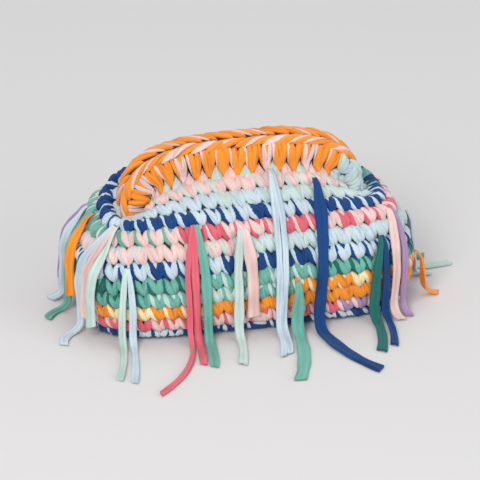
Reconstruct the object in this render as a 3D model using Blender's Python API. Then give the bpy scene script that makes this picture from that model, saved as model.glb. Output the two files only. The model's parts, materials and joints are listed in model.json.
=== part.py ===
"""A crochet clutch bag: a ribbed pouch, two covers of an arch-shaped frame, and a fringe of knotted strips.

Metres, +Z up. The origin is the middle of the flat base, +X runs along the bag and -Y is its front.
"""

import itertools
import math
from collections import namedtuple

import bmesh
import bpy
import numpy as np
from mathutils import Matrix, Vector
from mathutils.bvhtree import BVHTree

GAP = 0.0004  # between pieces that touch

# The pouch
CLOTH = 0.008  # thickness of the crocheted cloth
RIB = 0.0022  # how far each round stands out past the grooves beside it
RIB_SHOULDER = 0.27  # share of a row from a round's middle to where it falls off into the groove
ROUND_POINTS = 56
RIB_FADE = 0.7  # power by which the flaps' short rows run out flat under the arch's feet
BASE_INSET = 0.006  # from the first round in to the edge of the flat underside
END_SAG = 2.2  # power by which a round dips from its middle to its ends
FLAP_SWEEP = 1.5  # power by which the flaps' rows draw in from the ends
UNEVEN = 0.010  # share by which the soft wall swells and sinks along a round
UNEVEN_TWIST = 0.7  # radians that this swelling shifts from one round to the next

# One row for each round of stitches, from the base edge up to the feet of the arch. The bluntness is
# of the round seen from above, where 2 would be an ellipse.
Round = namedtuple("Round", "half_length half_depth middle_z end_z bluntness")
ROUNDS = (
    Round(0.1350, 0.0680, 0.0045, 0.0045, 4.4),
    Round(0.1390, 0.0712, 0.0145, 0.0143, 4.2),
    Round(0.1412, 0.0730, 0.0265, 0.0257, 4.0),
    Round(0.1425, 0.0740, 0.0390, 0.0372, 3.8),
    Round(0.1425, 0.0730, 0.0515, 0.0482, 3.6),
    Round(0.1410, 0.0695, 0.0650, 0.0590, 3.4),
    Round(0.1370, 0.0635, 0.0785, 0.0695, 3.2),
    Round(0.1295, 0.0565, 0.0905, 0.0795, 3.0),
    Round(0.1180, 0.0480, 0.1020, 0.0868, 3.0),
)
FLAP_ROWS = 3  # short rows between the last full round and the arch
LAST_ROUND = len(ROUNDS) - 1
RIM = LAST_ROUND + FLAP_ROWS
INNER_ROWS = (RIM, RIM - 1, LAST_ROUND + 0.6, LAST_ROUND - 0.6, 6, 4, 2, 0.6)

# The arch that the covers follow
ARCH_HALF_SPAN = 0.0925
ARCH_FOOT_Z = 0.0878
ARCH_TOP_Z = 0.138
ARCH_POWER = 3.1
COVER_HEIGHT = 0.022
COVER_DEPTH = 0.0155
COVER_GROOVE = 0.0014  # depth of the grooves between the wraps
COVER_END = (0.003, 0.002)  # how far a cover's end is drawn in, across and through the arch
WRAP_COUNT = 20
SECTION_POINTS = 10
SECTION_POWER = 3.4
RIM_HALF_DEPTH = 0.0120
FOOT_ANGLE = math.radians(22)  # the share of a round that passes under a foot, from the end's middle

# The fringe
KNOT_SIZE = (0.0065, 0.0055, 0.0042)  # half sizes along the round, up the wall and out of it
STRIP_THICKNESS = 0.0032
WALL_TURN = 0.3  # share of the wall's own turn, away from its side's, that a strip follows
STANDOFF = STRIP_THICKNESS / 2 + 0.0024  # from a strip's middle to the wall
LIE_Z = GAP + STRIP_THICKNESS / 2  # height of a strip's middle on the floor
BEND = 0.011  # radius where a strip turns out onto the floor
SHORTEST_TAIL = 0.004
TAIL_STEP = 0.020
FINE_STEP = 0.003
LONGEST_CHORD = 10  # fine steps between two sections of a strip
PINCH = 0.35  # share of its place across the knot that a strip starts from
OUTSIDE = 0.3  # a distance from the middle that lies outside the whole bag
PROBE = 0.02  # how far off the wall a knot's seat is felt for
CHORD_SAG = 0.0010  # how far such a chord may cut inside the fine steps

YARNS = {
    "orange": (0.93, 0.36, 0.06),
    "coral": (0.86, 0.16, 0.21),
    "pink": (0.90, 0.62, 0.56),
    "navy": (0.02, 0.07, 0.28),
    "ice": (0.62, 0.78, 0.82),
    "mint": (0.60, 0.79, 0.70),
    "aqua": (0.16, 0.53, 0.40),
    "green": (0.02, 0.21, 0.14),
    "lilac": (0.48, 0.34, 0.60),
}
JERSEY_ROUGHNESS = 0.85
SHARP_ANGLE = math.radians(50)

# Each side gives the outward direction from which its knots are placed
SIDES = {
    "front": Vector((0, -1, 0)),
    "back": Vector((0, 1, 0)),
    "left": Vector((-1, 0, 0)),
    "right": Vector((1, 0, 0)),
}
# across: from the knot's middle along its side. lean: how far the tip drifts along the side.
# turn: degrees that the end curls by on the floor, seen from above, anticlockwise.
Strip = namedtuple("Strip", "yarn across length width lean turn")
Knot = namedtuple("Knot", "name side along height strips")
FRINGE = (
    Knot("front_corner_left", "front", -0.1105, 0.0600, (
        Strip("mint", -0.0048, 0.122, 0.0068, 0.0, -16),
        Strip("ice", 0.0048, 0.126, 0.0068, -0.001, -10),
    )),
    Knot("front_left", "front", -0.0515, 0.0905, (
        Strip("coral", -0.0113, 0.190, 0.0060, 0.001, -42),
        Strip("coral", -0.0042, 0.134, 0.0074, 0.001, -20),
        Strip("aqua", 0.0045, 0.140, 0.0088, 0.002, -10),
    )),
    Knot("front_middle", "front", -0.0130, 0.0830, (
        Strip("mint", -0.0058, 0.138, 0.0086, -0.001, -18),
        Strip("pink", 0.0058, 0.076, 0.0108, 0.0, 0),
    )),
    Knot("front_flap_middle", "front", 0.0205, 0.1190, (
        Strip("ice", -0.0032, 0.180, 0.0058, -0.004, -18),
        Strip("ice", 0.0032, 0.176, 0.0058, -0.006, -14),
    )),
    Knot("front_low", "front", 0.0310, 0.0400, (
        Strip("aqua", 0.0, 0.122, 0.0118, -0.002, -24),
    )),
    Knot("front_flap_right", "front", 0.0560, 0.1100, (
        Strip("navy", 0.0, 0.214, 0.0112, -0.009, 34),
    )),
    Knot("front_corner_right", "front", 0.1040, 0.0680, (
        Strip("green", -0.0052, 0.124, 0.0092, -0.003, -26),
        Strip("navy", 0.0048, 0.118, 0.0070, -0.008, -24),
    )),
    Knot("front_end_right", "front", 0.1185, 0.0800, (
        Strip("pink", -0.0056, 0.092, 0.0100, -0.006, 0),
        Strip("lilac", 0.0056, 0.094, 0.0072, -0.007, -12),
    )),
    Knot("right_front", "right", -0.0340, 0.0360, (
        Strip("orange", 0.0, 0.034, 0.0080, -0.001, 0),
    )),
    Knot("right_middle", "right", 0.0060, 0.0560, (
        Strip("ice", -0.0052, 0.066, 0.0085, -0.001, 0),
        Strip("mint", 0.0052, 0.088, 0.0075, 0.001, 8),
    )),
    Knot("right_back", "right", 0.0350, 0.0600, (
        Strip("aqua", -0.0052, 0.084, 0.0080, -0.001, -8),
        Strip("navy", 0.0052, 0.070, 0.0075, 0.001, 0),
    )),
    Knot("left_front", "left", -0.0300, 0.0855, (
        Strip("ice", -0.0092, 0.126, 0.0080, 0.005, 70),
        Strip("pink", -0.0003, 0.081, 0.0080, 0.006, 0),
        Strip("mint", 0.0092, 0.086, 0.0090, 0.008, 0),
    )),
    Knot("left_middle", "left", 0.0030, 0.0820, (
        Strip("aqua", -0.0054, 0.112, 0.0078, 0.003, 60),
        Strip("orange", 0.0052, 0.072, 0.0098, 0.005, 0),
    )),
    Knot("left_back", "left", 0.0230, 0.0820, (
        Strip("lilac", -0.0062, 0.078, 0.0080, -0.012, 0),
        Strip("ice", 0.0042, 0.094, 0.0090, -0.008, 30),
    )),
    Knot("left_back_low", "left", 0.0560, 0.0540, (
        Strip("green", 0.0, 0.070, 0.0078, 0.0, 30),
    )),
    Knot("back_corner_left", "back", -0.1030, 0.062, (
        Strip("pink", -0.0052, 0.092, 0.0075, -0.001, -6),
        Strip("aqua", 0.0052, 0.104, 0.0080, 0.001, 12),
    )),
    Knot("back_left", "back", -0.0620, 0.094, (
        Strip("mint", -0.0052, 0.130, 0.0078, -0.004, -10),
        Strip("navy", 0.0052, 0.148, 0.0080, 0.002, 24),
    )),
    Knot("back_flap_left", "back", -0.0240, 0.112, (
        Strip("ice", -0.0050, 0.160, 0.0080, -0.004, -12),
        Strip("coral", 0.0048, 0.156, 0.0075, 0.001, 6),
    )),
    Knot("back_middle", "back", 0.0120, 0.070, (
        Strip("orange", -0.0052, 0.100, 0.0078, -0.001, -8),
        Strip("green", 0.0052, 0.112, 0.0085, 0.003, 14),
    )),
    Knot("back_flap_right", "back", 0.0480, 0.108, (
        Strip("aqua", -0.0050, 0.166, 0.0080, -0.001, -26),
        Strip("lilac", 0.0050, 0.150, 0.0078, 0.003, 6),
    )),
    Knot("back_corner_right", "back", 0.0980, 0.066, (
        Strip("coral", -0.0052, 0.098, 0.0078, -0.001, -8),
        Strip("ice", 0.0052, 0.108, 0.0080, 0.002, 10),
    )),
)


def clear_scene():
    for old in list(bpy.data.objects):
        bpy.data.objects.remove(old, do_unlink=True)


def collection(name, shown=True):
    made = bpy.data.collections.new(name)
    made.hide_render = not shown
    bpy.context.scene.collection.children.link(made)
    return made


def jersey(name, colour):
    made = bpy.data.materials.get(name)
    if made:
        return made
    made = bpy.data.materials.new(name)
    made.use_nodes = True
    shader = made.node_tree.nodes["Principled BSDF"]
    shader.inputs["Base Color"].default_value = (*colour, 1)
    shader.inputs["Roughness"].default_value = JERSEY_ROUGHNESS
    shader.inputs["Metallic"].default_value = 0
    return made


def add_object(name, shape, material, home):
    mesh = bpy.data.meshes.new(name)
    bmesh.ops.recalc_face_normals(shape, faces=shape.faces)
    shape.to_mesh(mesh)
    shape.free()
    mesh.materials.append(material)
    mesh.shade_smooth()
    mesh.set_sharp_from_angle(angle=SHARP_ANGLE)
    made = bpy.data.objects.new(name, mesh)
    home.objects.link(made)
    return made


def loft(rings):
    """One closed body through rings of equally many points, with a flat face on the first and the last."""
    shape = bmesh.new()
    loops = [[shape.verts.new(point) for point in ring] for ring in rings]
    count = len(loops[0])
    for near, far in zip(loops, loops[1:]):
        for i in range(count):
            j = (i + 1) % count
            shape.faces.new((near[i], near[j], far[j], far[i]))
    ends = [shape.faces.new(loops[0]), shape.faces.new(loops[-1])]
    bmesh.ops.triangulate(shape, faces=ends)
    return shape


def power(value, exponent):
    """The value's size to a power, with the value's sign."""
    return np.sign(value) * np.abs(value) ** exponent


def arch_curve(angle, inset=0.0):
    """Points in the XZ plane on the arch's middle line, or inside it by the inset. Angle 0 is the right foot."""
    across, up = np.cos(angle), np.sin(angle)
    rise = ARCH_TOP_Z - ARCH_FOOT_Z
    x = ARCH_HALF_SPAN * power(across, 2 / ARCH_POWER)
    z = rise * power(up, 2 / ARCH_POWER)
    normal_x = power(across, 2 - 2 / ARCH_POWER) / ARCH_HALF_SPAN
    normal_z = power(up, 2 - 2 / ARCH_POWER) / rise
    size = np.hypot(normal_x, normal_z)
    return x - inset * normal_x / size, ARCH_FOOT_Z + z - inset * normal_z / size


def rim_curve(angle):
    """The opening's edge. It passes under each foot of the arch, and climbs just inside the arch between them."""
    from_foot = np.arctan2(np.abs(np.sin(angle)), np.abs(np.cos(angle)))
    climb = np.clip((from_foot - FOOT_ANGLE) / (math.pi / 2 - FOOT_ANGLE), 0, 1) * math.pi / 2
    x, z = arch_curve(climb, COVER_HEIGHT / 2 + GAP)
    y = RIM_HALF_DEPTH * np.clip(from_foot / FOOT_ANGLE, 0, 1)
    z = z - 1.5 * GAP * (1 - np.sin(climb))
    return np.stack([x * np.sign(np.cos(angle)), y * np.sign(np.sin(angle)), z], axis=-1)


def round_curve(angle, row):
    """A full round of stitches. A row between two whole numbers lies between those rounds."""
    size = {field: np.interp(row, range(len(ROUNDS)), [getattr(r, field) for r in ROUNDS])
            for field in Round._fields}
    swell = 1 + UNEVEN * np.sin(3 * angle + UNEVEN_TWIST * row)
    x = size["half_length"] * power(np.cos(angle), 2 / size["bluntness"]) * swell
    y = size["half_depth"] * power(np.sin(angle), 2 / size["bluntness"]) * swell
    z = size["end_z"] + (size["middle_z"] - size["end_z"]) * np.abs(np.sin(angle)) ** END_SAG
    return np.stack([x, y, z], axis=-1)


def wall(angle, row):
    """The pouch's surface over the crests of its rounds, from row 0 at the base to RIM at the opening."""
    low = round_curve(angle, np.minimum(row, LAST_ROUND))
    share = np.clip((row - LAST_ROUND) / FLAP_ROWS, 0, 1)[..., None]
    rim = rim_curve(angle)
    point = rim + (low - rim) * (1 - share)
    point[..., 0] = (rim + (low - rim) * (1 - share) ** FLAP_SWEEP)[..., 0]
    return point


def wall_normal(angle, row):
    """The way out of the wall."""
    turn, climb = 0.02, 0.4
    round_way = wall(angle + turn, row) - wall(angle - turn, row)
    up_way = wall(angle, np.minimum(row + climb, RIM)) - wall(angle, np.maximum(row - climb, 0.0))
    normal = np.cross(round_way, up_way)
    return normal / np.linalg.norm(normal, axis=-1, keepdims=True)


def groove_depth(angle, row):
    """How far a groove lies behind the crests. Under the arch's feet the short rows run out flat."""
    return RIB * (np.abs(np.sin(angle)) ** RIB_FADE if row > LAST_ROUND else np.ones(ROUND_POINTS))


def make_pouch(home):
    """The ribbed outside from the flat underside up to the rim, and the plain inside back down."""
    angle = (np.arange(ROUND_POINTS) + 0.5) * 2 * math.pi / ROUND_POINTS

    def ring(row, depth):
        rows = np.full(ROUND_POINTS, float(row))
        return wall(angle, rows) - wall_normal(angle, rows) * np.reshape(depth, (-1, 1))

    first = ring(0, 0.0)
    inset = 1 - BASE_INSET / np.hypot(first[:, 0], first[:, 1])
    rings = [first * np.stack([inset, inset, 0 * inset], axis=-1), first]
    for row in range(RIM):
        rings.append(ring(row + RIB_SHOULDER, 0.0))
        rings.append(ring(row + 0.5, groove_depth(angle, row + 0.5)))
        rings.append(ring(row + 1 - RIB_SHOULDER, 0.0))
    rings.append(ring(RIM, 0.0))
    for row in INNER_ROWS:
        inside = ring(row, CLOTH)
        inside[:, 2] = np.maximum(inside[:, 2], CLOTH)
        rings.append(inside)
    return add_object("pouch", loft(rings), jersey("ice_jersey", YARNS["ice"]), home)


def make_cover(name, side, home):
    """A sleeve over one half of the arch, drawn in between its wraps."""
    around = np.arange(SECTION_POINTS) * 2 * math.pi / SECTION_POINTS
    steps = 3 * WRAP_COUNT
    rings = []
    for step in range(steps + 1):
        angle = math.pi * step / steps
        x, z = arch_curve(angle)
        inner_x, inner_z = arch_curve(angle, 1.0)
        out = Vector((x - inner_x, 0, z - inner_z))
        at_end = step in (0, steps)
        groove = COVER_GROOVE if step % 3 == 0 else 0
        radial = COVER_HEIGHT / 2 - groove - COVER_END[0] * at_end
        deep = COVER_DEPTH / 2 - groove / 2 - COVER_END[1] * at_end
        middle = Vector((x, side * (COVER_DEPTH / 2 + GAP / 2), z))
        rings.append([
            middle + out * radial * power(math.cos(a), 2 / SECTION_POWER)
            + Vector((0, 1, 0)) * deep * power(math.sin(a), 2 / SECTION_POWER)
            for a in around
        ])
    return add_object(name, loft(rings), jersey("orange_jersey", YARNS["orange"]), home)


class Wall:
    """Finds where level rays meet the pouch's own faces."""

    def __init__(self, pouch):
        self.faces = BVHTree.FromObject(pouch, bpy.context.evaluated_depsgraph_get())

    def hit(self, side, along, height):
        """The point and the normal where a level ray from outside meets the wall."""
        out = SIDES[side]
        start = out * OUTSIDE + self.along(side) * along + Vector((0, 0, height))
        point, normal, _, _ = self.faces.ray_cast(start, -out)
        return point, normal

    def seat(self, point, normal, beside, rise):
        """How far a knot's middle stands off the point, so that its back clears the ribs round it."""
        offset = 0.0
        for u, v in itertools.product(np.linspace(-0.9, 0.9, 7), repeat=2):
            if math.hypot(u, v) < 1:
                start = point + beside * u * KNOT_SIZE[0] + rise * v * KNOT_SIZE[1] + normal * PROBE
                hit, _, _, distance = self.faces.ray_cast(start, -normal, 2 * PROBE)
                back = KNOT_SIZE[2] * math.sqrt(1 - u * u - v * v)
                offset = max(offset, PROBE - distance + back if hit else 0.0)
        return offset + GAP

    @staticmethod
    def along(side):
        return Vector((0, 1, 0)) if side in ("left", "right") else Vector((1, 0, 0))

    def reach(self, start, out, beside, width, height):
        """How far the wall reaches past the start, along out, over a strip's width at a height."""
        found = 0.0
        for share in (-0.5, 0.0, 0.5):
            base = start + beside * width * share
            origin = Vector((base.x, base.y, height)) + out * OUTSIDE
            point, _, _, _ = self.faces.ray_cast(origin, -out, 2 * OUTSIDE)
            if point:
                found = max(found, (point - base).dot(out))
        return found


def hanging_part(wall_faces, start, out, beside, strip):
    """Points down a strip that drapes over the wall, from its knot to where it would turn onto the floor."""
    heights = np.arange(start.z, LIE_Z + BEND - FINE_STEP, -FINE_STEP)
    heights[-1] = LIE_Z + BEND
    level = start + beside * strip.across
    reach = [wall_faces.reach(level, out, beside, strip.width, z) + STANDOFF for z in heights]
    reach = np.maximum.accumulate([0.0, *reach[1:]])
    kept = [0]
    while kept[-1] < len(heights) - 1:
        first = kept[-1]
        for last in range(min(first + LONGEST_CHORD, len(heights) - 1), first, -1):
            chord = np.interp(-heights[first:last + 1], -heights[[first, last]], reach[[first, last]])
            if (chord > reach[first:last + 1] - CHORD_SAG).all():
                break
        kept.append(last)
    share = np.linspace(0, 1, len(heights))
    sideways = strip.across * (PINCH + (1 - PINCH) * np.minimum(1, 4 * share)) + strip.lean * share
    return [Vector((start.x, start.y, heights[i])) + out * reach[i] + beside * sideways[i] for i in kept]


def strip_rings(wall_faces, start, out, strip):
    """Four-cornered sections of one strip, down the wall and then out along the floor."""
    up = Vector((0, 0, 1))
    beside = up.cross(out)
    points = hanging_part(wall_faces, start, out, beside, strip)
    rings = [section(points[0], beside, out, strip.width * 0.8)]
    left = strip.length
    for near, far in zip(points, points[1:]):
        piece = (far - near).length
        end = near.lerp(far, min(1, left / piece))
        rings.append(section(end, beside, out, strip.width))
        left -= piece
        if left < SHORTEST_TAIL:
            return rings
    for a in (math.pi / 4, math.pi / 2):
        point = end + out * BEND * (1 - math.cos(a)) - up * BEND * math.sin(a)
        rings.append(section(point, beside, out * math.cos(a) + up * math.sin(a), strip.width))
    tail = max(left - BEND * math.pi / 2, SHORTEST_TAIL)
    pieces = math.ceil(tail / TAIL_STEP)
    for piece in range(pieces):
        a = math.radians(strip.turn) * (piece + 1) / pieces
        heading = out * math.cos(a) + beside * math.sin(a)
        point = point + heading * tail / pieces
        rings.append(section(point, up.cross(heading), up, strip.width))
    return rings


def section(point, beside, thick, width):
    """A strip's four corners round a point."""
    across, deep = beside * width / 2, thick * STRIP_THICKNESS / 2
    return [point - across - deep, point + across - deep, point + across + deep, point - across + deep]


def make_fringe(knot, wall_faces, home, helpers):
    """A knot on the wall with its strips, which are fused only inside the knot."""
    point, normal = wall_faces.hit(knot.side, knot.along, knot.height)
    beside = normal.cross(Vector((0, 0, 1))).normalized()
    rise = beside.cross(normal)
    turned = Matrix((beside, rise, normal)).transposed().to_4x4()
    size = Matrix.Diagonal((*KNOT_SIZE, 1))
    middle = point + normal * wall_faces.seat(point, normal, beside, rise)
    shape = bmesh.new()
    bmesh.ops.create_uvsphere(shape, u_segments=7, v_segments=5, radius=1,
                              matrix=Matrix.Translation(middle) @ turned @ size)
    name = f"fringe_{knot.name}"
    material = jersey(f"{knot.strips[0].yarn}_jersey", YARNS[knot.strips[0].yarn])
    made = add_object(name, shape, material, home)
    level_normal = Vector((normal.x, normal.y, 0)).normalized()
    out = SIDES[knot.side].lerp(level_normal, WALL_TURN).normalized()
    for number, strip in enumerate(knot.strips):
        rings = strip_rings(wall_faces, middle, out, strip)
        helper = add_object(f"{name}_strip_{number}", loft(rings), material, helpers)
        helper.hide_render = True
        helper.display_type = "WIRE"
        union = made.modifiers.new(f"strip_{number}", "BOOLEAN")
        union.operation = "UNION"
        union.solver = "EXACT"
        union.object = helper
    return made


def main():
    clear_scene()
    home = collection("crochet_handbag")
    helpers = collection("helpers", shown=False)
    pouch = make_pouch(home)
    make_cover("frame_cover_front", -1, home)
    make_cover("frame_cover_back", 1, home)
    bpy.context.view_layer.update()
    wall_faces = Wall(pouch)
    for knot in FRINGE:
        make_fringe(knot, wall_faces, home, helpers)


main()
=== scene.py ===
"""Dresses the crochet clutch bag: each stitch of its rounds, its covered frame and its fringe, in jersey yarn."""

import json
import logging
import math
from abc import ABC, abstractmethod
from dataclasses import dataclass, field, replace
from enum import Enum

import bmesh
import bpy
import numpy as np
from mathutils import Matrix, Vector
from mathutils.bvhtree import BVHTree

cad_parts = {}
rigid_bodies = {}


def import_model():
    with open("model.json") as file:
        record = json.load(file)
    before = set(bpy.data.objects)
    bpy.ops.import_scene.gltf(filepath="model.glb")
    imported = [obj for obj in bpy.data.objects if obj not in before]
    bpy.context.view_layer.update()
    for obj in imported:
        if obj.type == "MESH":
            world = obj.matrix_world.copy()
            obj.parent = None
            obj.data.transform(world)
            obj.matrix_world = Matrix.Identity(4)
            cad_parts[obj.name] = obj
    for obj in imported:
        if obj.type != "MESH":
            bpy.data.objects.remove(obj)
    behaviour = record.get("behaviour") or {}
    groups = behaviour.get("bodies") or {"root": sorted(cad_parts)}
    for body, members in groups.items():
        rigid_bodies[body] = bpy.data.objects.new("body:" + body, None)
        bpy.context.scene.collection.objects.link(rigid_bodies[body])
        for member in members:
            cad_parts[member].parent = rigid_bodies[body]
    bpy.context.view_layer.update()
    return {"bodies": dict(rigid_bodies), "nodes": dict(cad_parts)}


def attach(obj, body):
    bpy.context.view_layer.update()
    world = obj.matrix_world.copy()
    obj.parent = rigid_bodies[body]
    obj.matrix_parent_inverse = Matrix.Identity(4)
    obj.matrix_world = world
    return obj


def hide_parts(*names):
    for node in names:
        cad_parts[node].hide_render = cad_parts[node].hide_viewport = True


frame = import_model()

log = logging.getLogger("crochet_bag")
Array = np.ndarray

BODY = next(iter(frame["bodies"]))
GAP = 0.0004  # air between neighbouring parts
STITCH = 0.0124  # width of one stitch
FLOOR_CLEARANCE = 0.0003  # lowest that any yarn reaches
UP = Vector((0, 0, 1))


class Yarn(Enum):
    """The jersey yarns that the bag is worked in."""

    ORANGE = "orange"
    CORAL = "coral"
    PINK = "pink"
    NAVY = "navy"
    ICE = "ice"
    MINT = "mint"
    AQUA = "aqua"
    GREEN = "green"
    LILAC = "lilac"
    CREAM = "cream"


LETTERS = "OCPNIMAGLW"  # the yarns' letters in the tables, in the same order
YARNS = dict(zip(LETTERS, Yarn))


@dataclass(frozen=True)
class YarnFinish:
    """The look of one jersey yarn."""

    colour: tuple[float, float, float]
    # painted shade: the yarn darkened, for its creases and for the backs behind its stitches
    fold: tuple[float, float, float]
    sheen: float = 0.25
    roughness: float = 0.82


# Each yarn's own colour, then its colour in painted shade
FINISHES: dict[Yarn, YarnFinish] = {
    Yarn.ORANGE: YarnFinish((0.960, 0.310, 0.022), (0.640, 0.130, 0.008)),
    Yarn.CORAL: YarnFinish((0.780, 0.135, 0.180), (0.450, 0.044, 0.078)),
    Yarn.PINK: YarnFinish((0.845, 0.605, 0.565), (0.660, 0.385, 0.340)),
    Yarn.NAVY: YarnFinish((0.007, 0.058, 0.210), (0.003, 0.023, 0.095), 0.08),
    Yarn.ICE: YarnFinish((0.580, 0.695, 0.760), (0.380, 0.510, 0.590)),
    Yarn.MINT: YarnFinish((0.575, 0.710, 0.655), (0.360, 0.520, 0.460)),
    Yarn.AQUA: YarnFinish((0.155, 0.450, 0.365), (0.058, 0.255, 0.200)),
    Yarn.GREEN: YarnFinish((0.016, 0.150, 0.130), (0.005, 0.070, 0.060), 0.10),
    Yarn.LILAC: YarnFinish((0.400, 0.262, 0.440), (0.240, 0.140, 0.285)),
    Yarn.CREAM: YarnFinish((0.940, 0.800, 0.460), (0.760, 0.580, 0.260)),
}


def parted(text: str) -> list[list[str]]:
    """The words of each entry of a table's row."""
    return [entry.split() for entry in text.split(", ")]


def power(value: Array, exponent: float) -> Array:
    """The value's size to a power, with the value's sign."""
    return np.sign(value) * np.abs(value) ** exponent


def unit(vectors: Array) -> Array:
    """The vectors at length one."""
    return vectors / np.maximum(np.linalg.norm(vectors, axis=-1, keepdims=True), 1e-9)


# --- finishes


def fed(node: bpy.types.Node, inputs: dict[str | int, object]) -> bpy.types.Node:
    """Sets a node's inputs, each to a constant or to another node's output socket."""
    for key, value in inputs.items():
        if isinstance(value, bpy.types.NodeSocket):
            node.id_data.links.new(value, node.inputs[key])
        else:
            node.inputs[key].default_value = value
    return node


class JerseyGroup:
    """The node group that every jersey yarn shares: folds with painted shade in their creases, knit ribs with
    painted shade in their grooves, and slow random changes of tone.
    """

    NAME = "jersey_surface"

    def build(self) -> bpy.types.NodeTree:
        """The group, with a colour, a roughness and a bump height."""
        made = bpy.data.node_groups.new(self.NAME, "ShaderNodeTree")
        for name, side, kind in (
            ("Colour", "INPUT", "Color"), ("Fold shade", "INPUT", "Color"), ("Roughness", "INPUT", "Float"),
            ("Streaks", "INPUT", "Float"), ("Colour", "OUTPUT", "Color"), ("Roughness", "OUTPUT", "Float"),
            ("Height", "OUTPUT", "Float"),
        ):
            made.interface.new_socket(name, in_out=side, socket_type=f"NodeSocket{kind}")
        self._wire(made)
        return made

    @staticmethod
    def _wire(tree: bpy.types.NodeTree) -> None:
        """Adds the group's nodes."""

        def add(kind: str, inputs: dict[str | int, object], **settings: object) -> bpy.types.NodeOutputs:
            """Adds one node, and gives its outputs."""
            made = tree.nodes.new(f"ShaderNode{kind}")
            for key, value in settings.items():
                setattr(made, key, value)
            return fed(made, inputs).outputs

        inside = tree.nodes.new("NodeGroupInput").outputs
        place = add("TexCoord", {})
        strand = add("Attribute", {}, attribute_name="strand")["Vector"]
        # Lengthwise creases where the strip of jersey folds in on itself: the bump dips there and painted shade
        # darkens them
        along = add("Mapping", {"Vector": place["UV"], "Scale": (9.0, 1.1, 1.0)}, vector_type="POINT")
        spread = add("VectorMath", {0: strand, "Scale": 37.0}, operation="SCALE")
        shift = add("VectorMath", {0: along["Vector"], 1: spread["Vector"]}, operation="ADD")
        streak = add("TexNoise", {"Vector": shift["Vector"], "Scale": 1.0, "Detail": 2.0})
        crease = add("MapRange", {"Value": streak["Fac"], "From Min": 0.52, "From Max": 0.70},
                     interpolation_type="SMOOTHSTEP")
        depth = add("Math", {0: crease["Result"], 1: inside["Streaks"]}, operation="MULTIPLY")["Value"]
        # Fine ribs of the knit, along each strand, with painted shade in their grooves
        knit = add("Mapping", {"Vector": place["UV"], "Scale": (1.0, 60.0, 1.0)}, vector_type="POINT")
        rib = add("TexWave", {"Vector": knit["Vector"], "Scale": 6.0, "Distortion": 1.2, "Detail": 1.0},
                  wave_type="BANDS", bands_direction="X")
        fuzz = add("TexNoise", {"Vector": place["Object"], "Scale": 900.0, "Detail": 3.0})["Fac"]
        tone = add("TexNoise", {"Vector": place["Object"], "Scale": 38.0, "Detail": 2.0})["Fac"]
        # Colour, with painted shade darkening the creases
        crease_shaded = add("Mix", {"Factor": depth, "A": inside["Colour"], "B": inside["Fold shade"]},
                     data_type="RGBA", blend_type="MIX")
        value = add("MapRange", {"Value": tone, "From Min": 0.3, "From Max": 0.7, "To Min": 0.91, "To Max": 1.07})
        light = add("HueSaturation", {"Value": value["Result"], "Color": crease_shaded["Result"]})
        # Painted shade: the colour darkens in the ribs' grooves, where the bump is low
        rib_shaded = add("Mix", {"Factor": 0.12, "A": light["Color"], "B": rib["Color"]},
                    data_type="RGBA", blend_type="MULTIPLY")
        rough = add("Math", {0: fuzz, 1: 0.12, 2: inside["Roughness"]}, operation="MULTIPLY_ADD")
        # Height, in shares of the bump's distance
        ribbed = add("Math", {0: rib["Fac"], 1: 0.12, 2: fuzz}, operation="MULTIPLY_ADD")
        height = add("Math", {0: depth, 1: -1.6, 2: ribbed["Value"]}, operation="MULTIPLY_ADD")
        fed(tree.nodes.new("NodeGroupOutput"), {
            "Colour": rib_shaded["Result"], "Roughness": rough["Value"], "Height": height["Value"],
        })


class JerseyMaterials:
    """One material for each yarn, made when it is first asked for."""

    # How deep the creases dip in the bump and how strongly painted shade darkens them
    STREAKS = 0.6
    BUMP = 0.0006  # the bump's distance in metres
    BUMP_STRENGTH = 0.7

    def __init__(self) -> None:
        self._group = JerseyGroup().build()
        self._made: dict[str, bpy.types.Material] = {}

    def yarn(self, yarn: Yarn) -> bpy.types.Material:
        """The material of a yarn."""
        name = f"{yarn.value}_jersey"
        if name not in self._made:
            self._made[name] = self._dress(name, FINISHES[yarn])
        return self._made[name]

    def backs(self) -> bpy.types.Material:
        """The material of the stitches' backs and of the covers' cores, whose painted shade colour is in the mesh's
        own attribute.
        """
        name = "shaded_stitch_backs"
        if name not in self._made:
            made = self._dress(name, FINISHES[Yarn.NAVY])
            tone = made.node_tree.nodes.new("ShaderNodeAttribute")
            tone.attribute_name = "painted_shade_tint"
            # The painted shade colour stands for both the colour and the fold
            colour = tone.outputs["Color"]
            fed(made.node_tree.nodes["jersey"], {"Colour": colour, "Fold shade": colour})
            self._made[name] = made
        return self._made[name]

    def _dress(self, name: str, finish: YarnFinish) -> bpy.types.Material:
        """Makes one material from a finish."""
        made = bpy.data.materials.new(name)
        made.use_nodes = True
        tree = made.node_tree
        surface = tree.nodes.new("ShaderNodeGroup")
        surface.name = "jersey"
        surface.node_tree = self._group
        fed(surface, {
            "Colour": (*finish.colour, 1), "Fold shade": (*finish.fold, 1), "Roughness": finish.roughness,
            "Streaks": self.STREAKS,
        })
        bump = fed(tree.nodes.new("ShaderNodeBump"), {
            "Strength": self.BUMP_STRENGTH, "Distance": self.BUMP, "Height": surface.outputs["Height"],
        })
        fed(tree.nodes["Principled BSDF"], {
            "Base Color": surface.outputs["Colour"], "Roughness": surface.outputs["Roughness"],
            "Normal": bump.outputs["Normal"], "Sheen Weight": finish.sheen, "Sheen Roughness": 0.5,
            "Specular IOR Level": 0.25,
        })
        return made


# --- meshes


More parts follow.
